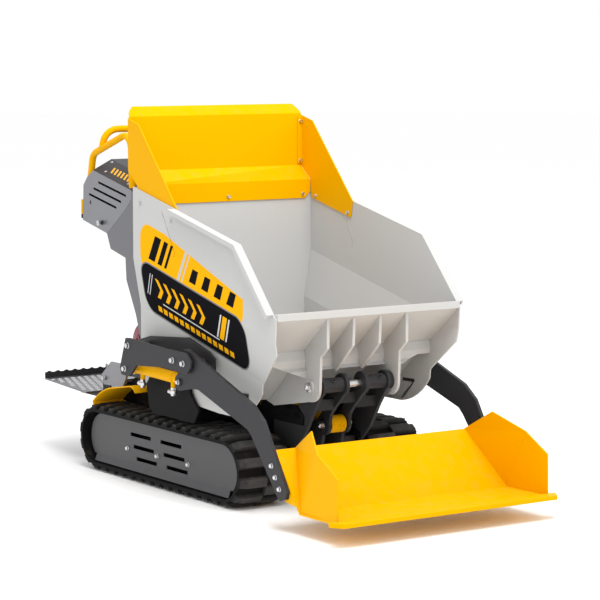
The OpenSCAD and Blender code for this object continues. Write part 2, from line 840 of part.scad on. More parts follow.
module rim_outline(drop) {
    top = [rim_foot, rim_bend, rim_front];
    polygon(concat(top, [for (i = [2:-1:0]) top[i] - [drop * (i > 0 ? 0.6 : 0), drop]]));
}

module skip_side() color(skip_grey) {
    intersection() {
        along_y(0, 2 * skip_half_w) skip_side_outline();
        difference() {
            skip_space(skip_half_w);
            skip_space(skip_inner_w);
        }
    }
    along_y(skip_half_w - 1, skip_half_w + rim_w) rim_outline(skip_t);
    along_y(skip_half_w + rim_w - skip_t, skip_half_w + rim_w) rim_outline(rim_drop);
}

module skip_rear_wall() color(skip_grey) {
    intersection() {
        translate([wall_x, -2 * skip_half_w, skip_floor_z])
            cube([skip_t, 4 * skip_half_w, skip_rear_z - skip_floor_z]);
        skip_space(skip_inner_w - seat);
    }
}

// Floor and sloping front as one bent line of sheet, at a depth below its upper face.
function slope_dir() = [lip_x - slope_foot_x, lip_z - floor_top_z] /
                       norm([lip_x - slope_foot_x, lip_z - floor_top_z]);
function slope_drop(d) = d * [slope_dir()[1], -slope_dir()[0]];
function slope_elbow(d) =
    [slope_foot_x + d * (1 - slope_dir()[0]) / slope_dir()[1], floor_top_z - d];

module skip_floor_outline() {
    polygon([[wall_x + skip_t, floor_top_z], slope_elbow(0), [lip_x, lip_z],
             [lip_x, lip_z] + slope_drop(skip_t), slope_elbow(skip_t),
             [wall_x + skip_t, skip_floor_z]]);
}

tip_lug_y = 22;
tip_lug_t = 8;

module tip_lug_outline() {
    translate(tip_eye) circle(r = 22);
    polygon([[tip_eye[0] - 50, skip_floor_z + 1], [tip_eye[0] + 50, skip_floor_z + 1],
             [tip_eye[0] + 20, tip_eye[1] - 6], [tip_eye[0] - 20, tip_eye[1] - 6]]);
}

module skip_floor() color(skip_grey) {
    intersection() {
        along_y(-skip_half_w, skip_half_w) skip_floor_outline();
        skip_space(skip_inner_w - seat);
    }
    translate([lip_x - lip_lap, seat - skip_inner_w, lip_z - lip_lap])
        cube([lip_w + lip_lap, 2 * (skip_inner_w - seat), lip_h + lip_lap]);
    both_sides() {
        along_y(tip_lug_y, tip_lug_y + tip_lug_t) tip_lug_outline();
        pin_y(tip_eye, 13, tip_lug_y + tip_lug_t - 1, tip_lug_y + 2 * tip_lug_t - 1);
    }
}

// Folded beam under the front of the skip

beam_front = [[463, 513], [473, 483], [469, 457], [480, 447], [472, 422]];
beam_side_z = 468;
beam_mid_z = 447;
beam_side_y = 285;

// Lower edge of the beam: highest at the skip's sides and lowest at the ears.
module beam_face() {
    low_z = beam_front[4][1];
    half = [[ear_in_y, beam_mid_z], [ear_in_y, low_z], [ear_out_y, low_z], [beam_side_y, beam_side_z],
            [2 * beam_side_y, beam_side_z]];
    translate([beam_front[0][0] - 100, 0, 0]) rotate([90, 0, 90]) linear_extrude(200)
        polygon(concat(half, [[2 * beam_side_y, 700], [-2 * beam_side_y, 700]],
                       [for (i = [4:-1:0]) [-half[i][0], half[i][1]]]));
}

module skip_front_beam() color(skip_grey) {
    difference() {
        intersection() {
            along_y(-skip_half_w, skip_half_w) under_slope() bent_sheet(beam_front, [-skip_t, 0]);
            skip_space(skip_inner_w - 1);
            beam_face();
        }
        both_sides() translate([400, ear_in_y - seat, 400]) cube([120, rib_t + 2 * seat, 140]);
    }
}

module under_slope() {
    difference() {
        children();
        polygon([[-400, skip_floor_z - seat], slope_elbow(skip_t + seat),
                 [lip_x, lip_z] + slope_drop(skip_t + seat), [lip_x + 40, lip_z - lip_lap - seat],
                 [lip_x + 40, 900], [-400, 900]]);
    }
}

module ear_outline() {
    under_slope() difference() {
        union() {
            polygon([[588, lip_z + 2], [588, 529], [551, 498], [546, pivot_z], [504, 352],
                     [290, 314], [231, 330], [231, 360], [500, 600]]);
            translate([pivot_x - 2, pivot_z]) circle(r = 48);
        }
        translate([pivot_x, pivot_z]) circle(r = pivot_pin_d / 2 + fit);
    }
}

module inner_rib_outline() {
    under_slope() difference() {
        polygon([[587, lip_z + 2], [581, 531], [487, 440], [440, 500], [500, 600]]);
        polygon(concat([for (i = [0:3]) beam_front[i] + [seat, 0]],
                       [[476, 430], [400, 440], [400, 530]]));
    }
}

module skip_ribs() color(skip_grey) {
    both_sides() {
        along_y(ear_in_y, ear_out_y) ear_outline();
        along_y(inner_rib_y - rib_t / 2, inner_rib_y + rib_t / 2) inner_rib_outline();
    }
}

module tip_pivot_pin() color(steel) {
    pin_y([pivot_x, pivot_z], pivot_pin_d / 2, -ear_out_y - 2, ear_out_y + 2);
    both_sides()
        pin_y([pivot_x, pivot_z], 22, ear_out_y + seat, ear_out_y + seat + 8);
}

// Boards bolted on the skip

module board_rear_outline() {
    bent_sheet([[board_face_x, skip_rear_z - board_lap], [board_face_x, board_fold_z],
                [panel_x, panel_foot_z], [panel_x, panel_top_z],
                [panel_x - board_lip[0], board_top_z]], [board_t, 0]);
}

module board_rear() color(yellow) {
    half = skip_inner_w - 2 * seat - board_t - seat;
    foot_z = skip_rear_z - board_lap;
    edge = concat([[half - board_foot_cut, foot_z], [half, foot_z + board_foot_cut]],
                  [for (c = board_corner) [half - c[0], board_top_z - c[1]]]);
    intersection() {
        along_y(-half, half) board_rear_outline();
        translate([2 * skip_rear_x, 0, 0]) rotate([90, 0, 90]) linear_extrude(-2 * skip_rear_x)
            polygon(concat(edge, [for (i = [4:-1:0]) [-edge[i][0], edge[i][1]]]));
    }
}

module board_side() color(yellow) {
    out = skip_inner_w - 2 * seat;
    edge_x = panel_x + 2;
    along_y(out - board_t, out)
        polygon([[board_face_x + 8, skip_rear_z - board_lap + 2], [board_face_x + 2, board_fold_z],
                 [edge_x, panel_foot_z], [edge_x, panel_top_z - 6], [edge_x + 69, panel_top_z - 24],
                 rim_foot + [10, 0], rim_foot + [-2, -57]]);
    translate([panel_x + board_t + seat, out - board_flange, panel_foot_z + 8])
        cube([board_t, board_flange, panel_top_z - panel_foot_z - 20]);
}

// Arms and shovel

module arm_outline() {
    pivot = [arm_pivot_x, arm_pivot_z];
    difference() {
        union() {
            translate(pivot) circle(r = 46);
            translate(lift_eye) circle(r = 28);
            polygon([pivot + [16, 43], [560, 371], [619, 328], [750, 126], [742, 104], [715, 96],
                     [698, 103], [554, 272], [533, 290], [241, 380], [199, 377], lift_eye + [6, -27],
                     lift_eye + [-24, 14], pivot + [-40, -20]]);
        }
        translate(pivot) circle(r = arm_pin_d / 2 + fit);
    }
}

module arm() color(dark_grey) {
    along_y(arm_y, arm_out_y) arm_outline();
    pin_y(lift_eye, 15, lift_y + 13, arm_y + 1);
    pin_y(lift_eye, 13, arm_out_y - 1, arm_out_y + 5);
}

module shovel_back_outline() {
    d = (shovel_back_foot - shovel_back_top) / norm(shovel_back_foot - shovel_back_top);
    n = shovel_t * [d[1], -d[0]];
    polygon([shovel_back_top, shovel_back_foot, shovel_back_foot + [0, -shovel_t],
             shovel_back_foot + n + [2, -2], shovel_back_top + n]);
}

// One side of the shovel: a sheet with two folds, from its weld on the back to the cutting edge.
module shovel_side() {
    edge_top = shovel_z + 6 + seat;
    w = shovel_half_w;
    outer = [[shovel_back_top[0] - 2, w - 74, shovel_back_top[1]], [782, w - 53, 313], [888, w - 3, 260],
             [edge_rear_x + 6, w - 2, 201], [edge_rear_x + 6, w, edge_top],
             [edge_rear_x - seat, w, edge_top], [edge_rear_x - seat, w, shovel_z - 3],
             [shovel_back_foot[0] - 4, w - 4, shovel_z - 3]];
    n = len(outer);
    skin = [[2, 1, 0], [7, 2, 0], [3, 2, 7], [4, 3, 7], [5, 4, 7], [6, 5, 7]];
    polyhedron(
        points = concat(outer, [for (p = outer) p - [0, side_t, 0]]),
        faces = concat(skin, [for (f = skin) [n + f[2], n + f[1], n + f[0]]],
                       [for (i = [0:n - 1]) [(i + 1) % n, n + (i + 1) % n, n + i, i]]));
}

module shovel_pan() color(yellow) {
    along_y(-shovel_half_w, shovel_half_w) shovel_back_outline();
    translate([shovel_back_foot[0] - 2, -shovel_half_w, shovel_z - shovel_t])
        cube([edge_rear_x - shovel_back_foot[0] + 2, 2 * shovel_half_w, shovel_t]);
    both_sides() {
        shovel_side();
        along_y(arm_y - seat - 7, arm_y - seat)
            polygon([[652, 228], [668, 243], [786, 86], [730, 92], [690, 112], [648, 176]]);
    }
}

module cutting_edge() color(yellow) {
    translate([0, 0, shovel_z - 8]) linear_extrude(14)
        polygon([[edge_rear_x + seat, -edge_half_w], [edge_rear_x + 8, -edge_half_w],
                 [edge_front_x, -edge_half_w + 24], [edge_front_x, edge_half_w - 24],
                 [edge_rear_x + 8, edge_half_w], [edge_rear_x + seat, edge_half_w]]);
}

// Hydraulic cylinders, drawn along X from the barrel's eye and then set in place

module set_cylinder(base, eye, y) {
    d = eye - base;
    translate([base[0], y, base[1]]) rotate([0, -atan2(d[1], d[0]), 0]) children();
}

module cylinder_x(r, x0, x1) {
    translate([x0, 0, 0]) rotate([0, 90, 0]) cylinder(r = r, h = x1 - x0);
}

module cross_eye(x, r, half_w) {
    translate([x, half_w, 0]) rotate([90, 0, 0]) cylinder(r = r, h = 2 * half_w);
}

module barrel(pin_d, eye_r, eye_half_w, barrel_d, rod_d, length) {
    wall = 5;
    gland = 22;
    difference() {
        union() {
            cross_eye(0, eye_r, eye_half_w);
            cylinder_x(barrel_d / 2, eye_r - 4, length - gland);
            cylinder_x(barrel_d / 2 - 2, length - gland - 1, length);
        }
        cross_eye(0, pin_d / 2 + fit, eye_half_w + 1);
        cylinder_x(barrel_d / 2 - wall, eye_r + 14, length - gland);
        cylinder_x(rod_d / 2 + 0.1, length - gland - 1, length + 1);
    }
}

module piston_rod(rod_d, eye_r, eye_half_w, bore_r, from, length) {
    difference() {
        union() {
            cylinder_x(rod_d / 2, from, length - eye_r + 4);
            cross_eye(length, eye_r, eye_half_w);
        }
        cross_eye(length, bore_r, eye_half_w + 1);
    }
}

lift_closed = norm(lift_eye - lift_base);
tip_closed = norm(tip_eye - tip_base);
lift_barrel_l = lift_closed - 62;
port_inset = 33;
port_r = 8;
port_h = 16;
boss_y = 12;
boss_r = 9;
tip_barrel_l = tip_closed - 80;

module lift_barrel() color(yellow) set_cylinder(lift_base, lift_eye, lift_y) {
    barrel(lift_pin_d, 20, 14, lift_barrel_d, lift_rod_d, lift_barrel_l);
    for (x = [port_inset, lift_barrel_l - port_inset - 4])
        translate([x, 0, -lift_barrel_d / 2 - port_h]) cylinder(r = port_r, h = port_h + 2);
}

module lift_rod() color(steel) set_cylinder(lift_base, lift_eye, lift_y)
    piston_rod(lift_rod_d, 22, 12, 10, 100, lift_closed);

module tip_barrel() color(yellow) set_cylinder(tip_base, tip_eye, 0) {
    eye_r = 28;
    barrel(tip_pin_d, eye_r, eye_r, tip_barrel_d, tip_rod_d, tip_barrel_l);
    translate([0, boss_y, 0]) difference() {
        cylinder_x(boss_r, -eye_r - 4, 8 - eye_r);
        cylinder_x(boss_r / 2, -eye_r - 5, -eye_r - 1);
    }
}

module tip_rod() color(steel) set_cylinder(tip_base, tip_eye, 0)
    piston_rod(tip_rod_d, 20, 15, 11, 130, tip_closed);

// Step that folds up behind the console

module step_arm() color(dark_grey) {
    end_y = step_arm_y + step_arm_t;
    rail_top = step_z - step_t - seat;
    difference() {
        union() {
            pin_y(step_hinge, 18, step_arm_y, end_y);
            along_y(step_arm_y, end_y)
                polygon([step_hinge + [16, 0], [step_front_x + 36, rail_top - step_rail_h],
                         [step_front_x - step_rail_l, rail_top - step_rail_h],
                         [step_front_x - step_rail_l, rail_top], [step_front_x + seat, rail_top],
                         [step_front_x + seat, step_hinge[1]]]);
        }
        pin_y(step_hinge, step_pin_r + fit, step_arm_y - 1, end_y + 1);
    }
}

module step_lip() color(dark_grey) {
    pitch = 2 * step_rear_half_w / lip_teeth;
    foot_z = step_z - step_t;
    teeth = [for (i = [0:lip_teeth - 1])
                 let (y = step_rear_half_w - (i + 0.5) * pitch,
                      half = 0.35 * pitch)
                 each [[y + half, lip_top_z], [y, lip_top_z + lip_tooth_h], [y - half, lip_top_z]]];
    translate([step_rear_x, 0, 0]) rotate([90, 0, 90]) linear_extrude(lip_sheet_t)
        polygon(concat([[-step_rear_half_w, lip_top_z], [-step_rear_half_w, foot_z],
                        [step_rear_half_w, foot_z], [step_rear_half_w, lip_top_z]], teeth));
}

module step_plate() color(steel) {
    translate([0, 0, step_z - step_t]) linear_extrude(step_t)
        polygon([[step_rear_x + lip_sheet_t + seat, -step_rear_half_w], [step_front_x, -step_front_half_w],
                 [step_front_x, step_front_half_w], [step_rear_x + lip_sheet_t + seat, step_rear_half_w]]);
}

chassis_frame();
pivot_tower();
on_right() track_loop();  // track_right
track_loop();  // track_left
on_right() track_frame();  // track_frame_right
track_frame();  // track_frame_left
on_right() track_wheels();  // track_wheels_right
track_wheels();  // track_wheels_left
on_right() track_cover();  // track_cover_right
track_cover();  // track_cover_left
on_right() arm_bracket();  // arm_bracket_right
arm_bracket();  // arm_bracket_left
on_right() mudguard();  // mudguard_right
mudguard();  // mudguard_left
engine_block();
fan_cover();
fuel_tank();
muffler();
hydraulic_tank();
console_column();
console_housing();
console_panel();
handlebar();
control_levers();
on_right() step_bracket();  // step_bracket_right
step_bracket();  // step_bracket_left
on_right() skip_side();  // skip_side_right
skip_side();  // skip_side_left
skip_rear_wall();
skip_floor();
skip_front_beam();
skip_ribs();
tip_pivot_pin();
board_rear();
on_right() board_side();  // board_right
board_side();  // board_left
on_right() arm();  // arm_right
arm();  // arm_left
shovel_pan();
cutting_edge();
on_right() lift_barrel();  // lift_barrel_right
on_right() lift_rod();  // lift_rod_right
lift_barrel();  // lift_barrel_left
lift_rod();  // lift_rod_left
tip_barrel();
tip_rod();
on_right() step_arm();  // step_arm_right
step_arm();  // step_arm_left
step_lip();
step_plate();
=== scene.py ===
import json
import math

import bpy
from mathutils import Matrix, Vector


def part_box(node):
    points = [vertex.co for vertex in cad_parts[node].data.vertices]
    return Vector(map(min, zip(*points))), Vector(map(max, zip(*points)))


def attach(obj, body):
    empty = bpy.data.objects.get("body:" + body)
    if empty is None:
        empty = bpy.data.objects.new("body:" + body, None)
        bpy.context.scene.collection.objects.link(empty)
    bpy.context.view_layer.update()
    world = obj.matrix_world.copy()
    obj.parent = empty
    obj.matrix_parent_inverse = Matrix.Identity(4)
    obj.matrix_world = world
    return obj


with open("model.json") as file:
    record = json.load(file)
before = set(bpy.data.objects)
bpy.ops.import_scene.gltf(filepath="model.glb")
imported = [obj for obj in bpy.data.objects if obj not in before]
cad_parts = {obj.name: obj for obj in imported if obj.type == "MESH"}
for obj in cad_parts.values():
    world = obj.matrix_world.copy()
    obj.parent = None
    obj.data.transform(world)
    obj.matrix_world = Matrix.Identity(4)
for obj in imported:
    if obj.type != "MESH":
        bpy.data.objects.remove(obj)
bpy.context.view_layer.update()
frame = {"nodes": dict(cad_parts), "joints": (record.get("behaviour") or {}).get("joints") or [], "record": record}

MM = 0.001
RIGHT, LEFT = -1, 1
AHEAD = Vector((1, 0, 0))
UP = Vector((0, 0, 1))
DOWN = Vector((0, 0, -1))
hinges = [joint for joint in frame["joints"] if joint["type"] == "hinge"]
pivots = {joint["name"]: Vector(joint["pos_m"]) for joint in hinges}


# Places read from the frame

def high(node):
    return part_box(node)[1]


def outward(side):
    return Vector((0, side, 0))


# Working on pieces

def take(piece):
    """Leaves this piece as the only one selected."""
    bpy.ops.object.select_all(action="DESELECT")
    piece.select_set(True)
    bpy.context.view_layer.objects.active = piece
    return piece


def round_off(piece, degrees=35):
    take(piece)
    bpy.ops.object.shade_smooth_by_angle(angle=math.radians(degrees))
    return piece


def turned(name, sides, steps):
    """A piece turned about Z: a disc drawn up through steps of radius and height, in millimetres."""
    bpy.ops.object.select_all(action="DESELECT")
    radius, height = steps[0]
    bpy.ops.mesh.primitive_circle_add(vertices=sides, radius=radius * MM, fill_type="NGON")
    piece = bpy.context.object
    piece.name = name
    bpy.ops.object.mode_set(mode="EDIT")
    bpy.ops.mesh.select_all(action="SELECT")
    bpy.ops.transform.translate(value=(0, 0, height * MM))
    for (wide, foot), (narrow, top) in zip(steps, steps[1:]):
        bpy.ops.mesh.extrude_region_move(TRANSFORM_OT_translate={"value": (0, 0, (top - foot) * MM)})
        bpy.ops.transform.resize(value=(narrow / wide, narrow / wide, 1), center_override=(0, 0, 0))
    bpy.ops.mesh.select_all(action="SELECT")
    bpy.ops.mesh.normals_make_consistent(inside=False)
    bpy.ops.object.mode_set(mode="OBJECT")
    return round_off(piece)


def slab(name, size, edge):
    """A block on its own floor with every edge bevelled; size and edge in millimetres."""
    bpy.ops.object.select_all(action="DESELECT")
    bpy.ops.mesh.primitive_cube_add(size=1, location=(0, 0, size[2] * MM / 2),
                                    scale=[side * MM for side in size])
    piece = bpy.context.object
    piece.name = name
    bpy.ops.object.transform_apply(location=True, rotation=True, scale=True)
    bpy.ops.object.mode_set(mode="EDIT")
    bpy.ops.mesh.select_all(action="SELECT")
    bpy.ops.mesh.bevel(offset=edge * MM, segments=3, affect="EDGES")
    bpy.ops.object.mode_set(mode="OBJECT")
    return round_off(piece)


def squash(piece, scale):
    take(piece)
    bpy.ops.object.mode_set(mode="EDIT")
    bpy.ops.mesh.select_all(action="SELECT")
    bpy.ops.transform.resize(value=scale, center_override=(0, 0, 0))
    bpy.ops.object.mode_set(mode="OBJECT")
    return piece


def narrowed(piece, scale):
    """Draws in the top of a slab."""
    take(piece)
    top = max(corner[2] for corner in piece.bound_box)
    for vertex in piece.data.vertices:
        vertex.select = vertex.co.z > top / 2
    bpy.ops.object.mode_set(mode="EDIT")
    bpy.ops.transform.resize(value=scale, center_override=(0, 0, 0))
    bpy.ops.object.mode_set(mode="OBJECT")
    return piece


def cut_off(piece, point, facing):
    """Cuts away what lies past a plane and closes the cut; the point in millimetres."""
    take(piece)
    bpy.ops.object.mode_set(mode="EDIT")
    bpy.ops.mesh.select_all(action="SELECT")
    bpy.ops.mesh.bisect(plane_co=[part * MM for part in point], plane_no=facing,
                        use_fill=True, clear_outer=True)
    bpy.ops.object.mode_set(mode="OBJECT")
    return piece


def weld_together(pieces):
    bpy.ops.object.select_all(action="DESELECT")
    for piece in pieces:
        piece.select_set(True)
    bpy.context.view_layer.objects.active = pieces[0]
    if len(pieces) > 1:
        bpy.ops.object.join()
    bpy.ops.object.transform_apply(location=True, rotation=True, scale=True)
    return bpy.context.object


def copy_at(master, place, facing, spin=0.0):
    copy = master.copy()
    copy.data = master.data.copy()
    bpy.context.collection.objects.link(copy)
    turn = facing.to_track_quat("Z", "Y").to_matrix().to_4x4() @ Matrix.Rotation(spin, 4, "Z")
    copy.matrix_world = Matrix.Translation(place) @ turn
    return copy


def set_out(master, spots, name, body, finish):
    """Copies a master to each spot, facing out of its surface, and joins the copies as one piece."""
    piece = weld_together([copy_at(master, *spot) for spot in spots])
    piece.name = name
    piece.data.materials.clear()
    piece.data.materials.append(finish.material)
    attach(piece, body)
    return piece


# Materials

class Term:
    """A value inside a finish: sums, products and comparisons of terms become Math nodes."""

    def __init__(self, finish, socket):
        self.finish = finish
        self.socket = socket

    def math(self, operation, *values):
        return self.finish.node("ShaderNodeMath", {"operation": operation}, dict(enumerate(values)))

    def __add__(self, other):
        return self.math("ADD", self, other)

    def __sub__(self, other):
        return self.math("SUBTRACT", self, other)

    def __rsub__(self, other):
        return self.math("SUBTRACT", other, self)

    def __mul__(self, other):
        return self.math("MULTIPLY", self, other)

    def __truediv__(self, other):
        return self.math("DIVIDE", self, other)

    def __gt__(self, other):
        return self.math("GREATER_THAN", self, other)

    def __lt__(self, other):
        return self.math("LESS_THAN", self, other)

    def __mod__(self, other):
        return self.math("FLOORED_MODULO", self, other)

    def __abs__(self):
        return self.math("ABSOLUTE", self)

    def held(self):
        """The same value kept between 0 and 1."""
        return self.finish.node("ShaderNodeClamp", {}, {0: self})

    def between(self, lower, upper):
        return (self > lower) * (self < upper)

    def either(self, other):
        return self.math("MAXIMUM", self, other)

    __radd__ = __add__
    __rmul__ = __mul__


class Finish:
    """A material on one Principled shader, with the object's own coordinates at hand."""

    def __init__(self, name, constants=None):
        self.material = bpy.data.materials.new(name)
        self.material.use_nodes = True
        self.tree = self.material.node_tree
        self.shader = self.tree.nodes["Principled BSDF"]
        for socket, value in (constants or {}).items():
            self.shader.inputs[socket].default_value = value
        self.coords = self.node("ShaderNodeTexCoord", output="Object")

    def node(self, kind, settings=None, sockets=None, output=0):
        made = self.tree.nodes.new(kind)
        for setting, value in (settings or {}).items():
            setattr(made, setting, value)
        for socket, value in (sockets or {}).items():
            self.feed(made.inputs[socket], value)
        return Term(self, made.outputs[output])

    def feed(self, socket, value):
        if isinstance(value, Term):
            self.tree.links.new(value.socket, socket)
        else:
            socket.default_value = value

    def axes(self):
        split = self.node("ShaderNodeSeparateXYZ", {}, {0: self.coords}).socket.node
        return [Term(self, output) for output in split.outputs]

    def noise(self, scale, detail=2.0, rough=0.5):
        return self.node("ShaderNodeTexNoise", {},
                         {"Vector": self.coords, "Scale": scale, "Detail": detail, "Roughness": rough})

    def mix(self, share, one, other):
        sockets = {0: share, 6: full(one), 7: full(other)}
        return self.node("ShaderNodeMix", {"data_type": "RGBA"}, sockets, output=2)

    def faces_up(self):
        normal = self.node("ShaderNodeNewGeometry", output="Normal")
        split = self.node("ShaderNodeSeparateXYZ", {}, {0: normal}, output=2)
        return split.held()

    def coat(self, colour=None, roughness=None, metallic=None):
        for socket, value in (("Base Color", colour), ("Roughness", roughness), ("Metallic", metallic)):
            if value is not None:
                self.feed(self.shader.inputs[socket], full(value))
        return self

    def bump(self, height, strength, distance):
        normal = self.node("ShaderNodeBump", {},
                           {"Height": height, "Strength": strength, "Distance": distance})
        self.feed(self.shader.inputs["Normal"], normal)
        return self


def full(value):
    """A colour with its fourth channel; anything else as it is."""
    return (*value, 1.0) if isinstance(value, tuple) and len(value) == 3 else value


def shade(colour, factor):
    return tuple(min(1.0, channel * factor) for channel in colour)


# The belt's loop: wheel centres, radius over the belt, lug height and number of lugs
REAR_WHEEL, FRONT_WHEEL, WHEEL_H = -0.532, 0.293, 0.117
BELT_R, LUG_H, LUG_COUNT = 0.099, 0.018, 38

DUST = (0.33, 0.30, 0.26)
MUD = (0.30, 0.21, 0.14)


def enamel(name, colour, roughness, clear=0.12, shine=0.35, tint=(1, 1, 1), peel=0.05):
    """Sprayed enamel: slow drift in tone, a film of dust on upper faces and fine orange peel.

    Clear is the weight of the clear coat, shine the sheen of the paint itself.
    """
    finish = Finish(name, {"Coat Weight": clear, "Coat Roughness": 0.22, "Specular IOR Level": shine,
                           "Specular Tint": full(tint)})
    drift = finish.noise(2.2, 3)
    film = finish.noise(26, 6, 0.65)
    tone = finish.mix(drift, shade(colour, 0.95), shade(colour, 1.05))
    dusty = finish.faces_up() * (film - 0.46).held() * 0.3
    finish.coat(colour=finish.mix(dusty, tone, DUST),
                roughness=roughness + (drift - 0.5) * 0.12 + dusty * 0.5)
    return finish.bump(finish.noise(650, 2), peel, 0.0004)


def rubber():
    """Track rubber: near black on the belt and lighter grey towards the lug tops, with random scuffs and dried mud
    on upper faces.
    """
    finish = Finish("track_rubber", {"Specular IOR Level": 0.12})
    scuff = finish.noise(60, 7, 0.7)
    clods = finish.noise(14, 5, 0.6)
    x, y, z = finish.axes()
    past = (x - FRONT_WHEEL).either(REAR_WHEEL - x).either(0.0)
    out = past * past + (z - WHEEL_H) * (z - WHEEL_H)
    lug = ((out - BELT_R ** 2) / ((BELT_R + LUG_H) ** 2 - BELT_R ** 2)).held()
    # Lighter grey with height up the lugs, near black on the belt between them.
    lug_height_grey = finish.mix(lug, (0.012, 0.0115, 0.011), (0.135, 0.130, 0.125))
    black = finish.mix((scuff - 0.35).held(), (0.006, 0.006, 0.0062), lug_height_grey)
    black = finish.mix(lug * 0.6, black, (0.078, 0.077, 0.076))
    dried = ((clods - 0.55).held() * 1.8 + (scuff - 0.58).held()).held() * finish.faces_up()
    finish.coat(colour=finish.mix(dried * 0.5, black, MUD), roughness=0.62 + scuff * 0.25)
    return finish.bump(scuff + clods, 0.35, 0.0015)


def bare_steel(name, colour, roughness, streaks=0.12):
    """Machined or plated steel with fine turning marks and dull patches."""
    finish = Finish(name, {"Metallic": 1.0})
    marks = finish.noise(240, 4, 0.7)
    patch = finish.noise(12, 4)
    finish.coat(colour=finish.mix(patch, shade(colour, 0.86), shade(colour, 1.06)),
                roughness=roughness + (marks - 0.5) * streaks + (patch - 0.5) * 0.16)
    return finish.bump(marks, 0.08, 0.0003)


def moulded(name, colour, roughness, grain=900):
    """Moulded plastic or cast metal with a fine even grain."""
    finish = Finish(name)
    grains = finish.noise(grain, 2)
    drift = finish.noise(5, 3)
    finish.coat(colour=finish.mix(drift, shade(colour, 0.88), shade(colour, 1.12)),
                roughness=roughness + (grains - 0.5) * 0.2)
    return finish.bump(grains, 0.2, 0.0004)


def hammer_grey(name, colour):
    """Metallic paint: bright flakes in a grey base under a thin clear coat."""
    finish = Finish(name, {"Coat Weight": 0.35, "Coat Roughness": 0.2})
    flakes = finish.noise(1500, 1)
    drift = finish.noise(3, 3)
    tone = finish.mix(drift, shade(colour, 0.9), shade(colour, 1.08))
    finish.coat(colour=finish.mix((flakes > 0.62) * 0.35, tone, shade(colour, 1.8)),
                roughness=0.34 + (flakes - 0.5) * 0.16, metallic=0.45 + (flakes - 0.5) * 0.3)
    return finish.bump(flakes, 0.04, 0.0002)


SKIP_GREY = (0.51, 0.51, 0.50)
YELLOW = (0.78, 0.39, 0.0)
YELLOW_SHEEN = (1.0, 0.6, 0.04)
ARM_GREY = (0.030, 0.030, 0.033)
CONSOLE_GREY = (0.195, 0.197, 0.217)
FILM_BLACK = (0.010, 0.010, 0.012)
FILM_YELLOW = (0.86, 0.42, 0.008)
FILM_WHITE = (0.62, 0.62, 0.63)


def livery():
    """The skip side's enamel with a plain striped film along its upper fold, outside only."""
    finish = enamel("skip_side_livery", SKIP_GREY, 0.45, clear=0.0, shine=0.0)  # matt, so the film stays black
    paint = Term(finish, finish.shader.inputs["Base Color"].links[0].from_socket)
    x, y, z = finish.axes()
    fold_fall, fold_h, band_h = 0.235, 0.6984, 0.162
    above = z - fold_h + x * fold_fall
    skin = 0.3275 + ((above + band_h) / band_h).held() * 0.028
    outside = abs(y) > skin

    def rounded(middle, half, corner):
        """A rectangle with round corners in x and height above the fold."""
        past_x = (abs(x - middle[0]) - half[0] + corner).either(0.0)
        past_z = (abs(above - middle[1]) - half[1] + corner).either(0.0)
        return past_x * past_x + past_z * past_z < corner * corner

    slant = x - above * 0.5
    wing = rounded((0.1, 0.06), (0.316, 0.082), 0.06) * (above < 0.147 - (x + 0.1) * 0.13)
    slits = slant.between(0.008, 0.022).either(slant.between(0.034, 0.041))
    slashes = slant.between(-0.178, -0.138).either(slant.between(-0.12, -0.094))
    slashes = slashes.either(slant.between(-0.078, -0.064)) * above.between(0.03, 0.118)
    blades = (slant % 0.075).between(0.0, 0.044 - above * 0.12) * slant.between(0.075, 0.375)
    blades = blades * above.between(0.034, 0.082)
    border = rounded((0.102, -0.071), (0.324, 0.087), 0.058)
    panel = rounded((0.102, -0.071), (0.319, 0.082), 0.053)
    depth = abs(above + 0.058)
    arrow = x + depth * 0.8
    chevrons = (arrow % 0.052 < 0.02) * arrow.between(-0.104, 0.208) * (depth < 0.032)
    pads = (x % 0.034 < 0.024) * x.between(-0.136, 0.34) * above.between(-0.137, -0.119)
    bars = slant.between(0.3, 0.325) * above.between(-0.098, -0.012)
    rules = slant.between(0.284, 0.292).either(slant.between(0.333, 0.341)) * above.between(-0.098, -0.012)
    rules = rules.either(slant.between(-0.15, -0.146).either(slant.between(-0.136, -0.132))
                         * above.between(-0.098, -0.018))
    line = above.between(-0.106, -0.102) * x.between(-0.1, 0.25)
    yellow = wing * (1 - slits)
    marks = chevrons.either(pads).either(bars)
    film = finish.mix(outside * yellow, paint, FILM_YELLOW)
    film = finish.mix(outside * wing * slashes.either(blades), film, FILM_BLACK)
    film = finish.mix(outside * border, film, (0.2, 0.2, 0.21))
    film = finish.mix(outside * panel, film, FILM_BLACK)
    film = finish.mix(outside * panel * marks, film, FILM_YELLOW)
    return finish.coat(colour=finish.mix(outside * panel * rules.either(line), film, FILM_WHITE))


def lid_plastic():
    """The console lid's grained plastic with a row of slanted bars on its right-hand slope."""
    finish = moulded("lid_plastic", (0.030, 0.030, 0.034), 0.5)
    plain = Term(finish, finish.shader.inputs["Base Color"].links[0].from_socket)
    x, y, z = finish.axes()
    across = y + 0.196
    slant = x + across * 0.6
    row = (slant % 0.022 < 0.011) * slant.between(-0.692, -0.56) * (abs(across) < 0.012)
    return finish.coat(colour=finish.mix(row, plain, FILM_YELLOW))


def pivot_steel(axis):
    """Zinc on the tip pivot's pin, with the skip's enamel on the collars at its ends."""
    finish = bare_steel("pivot_steel", (0.66, 0.66, 0.67), 0.28)
    plain = Term(finish, finish.shader.inputs["Base Color"].links[0].from_socket)
    x, y, z = finish.axes()
    pin_r = 0.0127
    away_x, away_z = x - axis.x, z - axis.z
    collar = away_x * away_x + away_z * away_z > pin_r ** 2
    return finish.coat(colour=finish.mix(collar, plain, SKIP_GREY), metallic=1 - collar)


